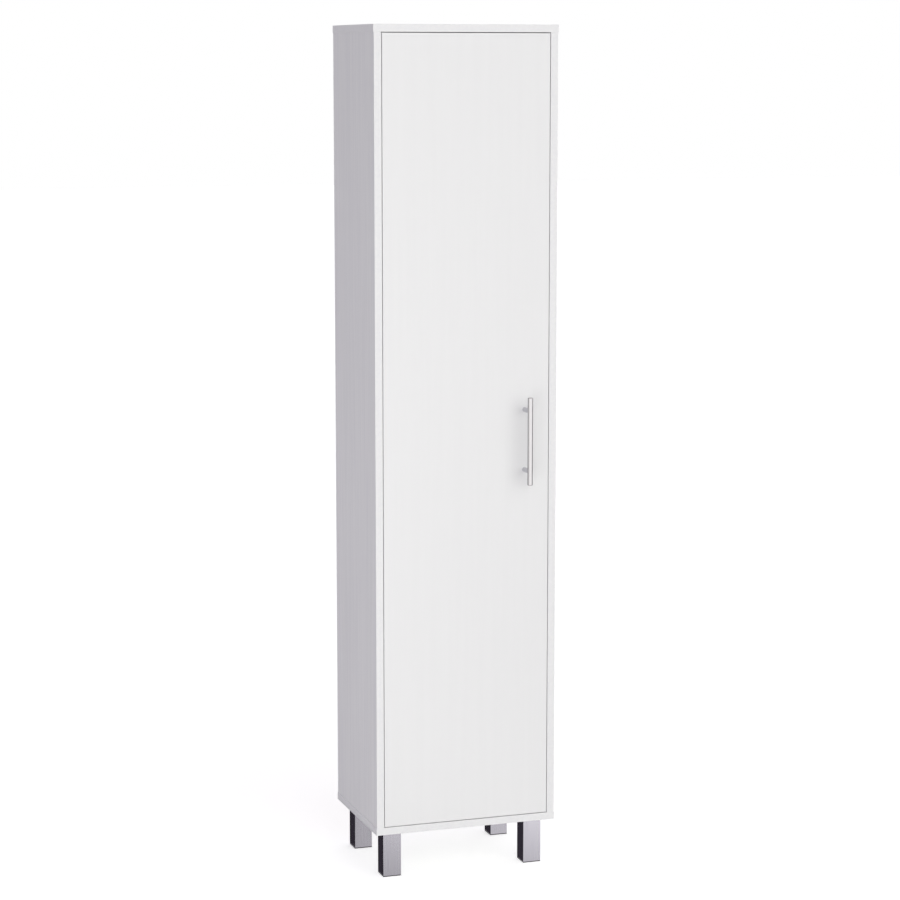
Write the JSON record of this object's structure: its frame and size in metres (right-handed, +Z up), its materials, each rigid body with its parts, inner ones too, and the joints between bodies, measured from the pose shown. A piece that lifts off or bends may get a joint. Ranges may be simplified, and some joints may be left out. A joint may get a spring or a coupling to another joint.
{
  "type": "broom cupboard",
  "caption": "Tall narrow cupboard for brooms, with an inset door on concealed hinges, a bar handle, a shelf, hooks and square metal legs.",
  "frame": {"origin": "on the floor, under the middle of the overall box from the handle bar to the back sheet", "axes": "+Z up, +X to the right of someone facing the door, +Y from the door to the back"},
  "size_m": [0.402, 0.3404, 1.8],
  "materials": {
    "white_melamine": "fine emboss, low sheen",
    "white_edge_tape": "satin",
    "back_hardboard": "smooth inside, bare fibre outside",
    "brushed_steel": "brushed along its length",
    "satin_aluminium": "satin anodised",
    "black_plastic": "moulded, matt",
    "zinc_steel": "bright zinc plated",
    "nickel_steel": "nickel plated",
    "cast_zinc": "as cast",
    "beech": "turned, bare",
    "hook_steel": "white powder coat",
    "clear_rubber": "soft, clear"
  },
  "bodies": {
    "carcass": {"back_nails": "zinc_steel", "back_panel_lower": "back_hardboard", "back_panel_upper": "back_hardboard", "bottom_panel": "white_melamine", "bottom_panel_edging": "white_edge_tape", "cam_bolts": "zinc_steel", "cam_locks": "cast_zinc", "door_bumpers": "clear_rubber", "dowels": "beech", "fixed_shelf": "white_melamine", "foot_back_left": "black_plastic", "foot_back_right": "black_plastic", "foot_front_left": "black_plastic", "foot_front_right": "black_plastic", "hinge_adjusting_screws": "zinc_steel", "hinge_arm_pins": "nickel_steel", "hinge_lower_arm": "nickel_steel", "hinge_lower_plate": "nickel_steel", "hinge_middle_arm": "nickel_steel", "hinge_middle_plate": "nickel_steel", "hinge_plate_screws": "zinc_steel", "hinge_upper_arm": "nickel_steel", "hinge_upper_plate": "nickel_steel", "hook_left": "hook_steel", "hook_middle": "hook_steel", "hook_rail": "white_melamine", "hook_right": "hook_steel", "hook_screws": "zinc_steel", "left_side_edging": "white_edge_tape", "left_side_panel": "white_melamine", "leg_back_left": "satin_aluminium", "leg_back_right": "satin_aluminium", "leg_front_left": "satin_aluminium", "leg_front_right": "satin_aluminium", "leg_plates": "zinc_steel", "leg_screws": "zinc_steel", "right_side_edging": "white_edge_tape", "right_side_panel": "white_melamine", "shelf_edging": "white_edge_tape", "top_panel": "white_melamine", "top_panel_edging": "white_edge_tape", "wall_fixing_rail": "white_melamine"},
    "outer_links": {"hinge_lower_outer_link": "nickel_steel", "hinge_middle_outer_link": "nickel_steel", "hinge_upper_outer_link": "nickel_steel"},
    "inner_links": {"hinge_lower_inner_link": "nickel_steel", "hinge_middle_inner_link": "nickel_steel", "hinge_upper_inner_link": "nickel_steel"},
    "door": {"door_panel": "white_melamine", "door_edging": "white_edge_tape", "handle_bar": "brushed_steel", "handle_post_upper": "brushed_steel", "handle_post_lower": "brushed_steel", "handle_screws": "zinc_steel", "hinge_cup_pins": "nickel_steel", "hinge_cup_screws": "zinc_steel", "hinge_lower_cup": "nickel_steel", "hinge_middle_cup": "nickel_steel", "hinge_upper_cup": "nickel_steel"}
  },
  "joints": [
    {"name": "hinge_swing", "type": "hinge", "parent": "carcass", "child": "outer_links", "pos_m": [-0.1581, -0.12315, 0.95], "axis": [0, 0, -1], "range_deg": [0, 72]},
    {"name": "door_on_links", "type": "hinge", "parent": "outer_links", "child": "door", "pos_m": [-0.1687, -0.12315, 0.95], "axis": [0, 0, -1], "range_deg": [0, 23.18]},
    {"name": "inner_link_swing", "type": "hinge", "parent": "carcass", "child": "inner_links", "pos_m": [-0.1523, -0.12315, 0.95], "axis": [0, 0, -1], "range_deg": [0, 23.18]}
  ],
  "couplings": [
    {"joint": "door_on_links", "follows": "hinge_swing", "ratio": 0.3218},
    {"joint": "inner_link_swing", "follows": "hinge_swing", "ratio": 0.3218}
  ]
}
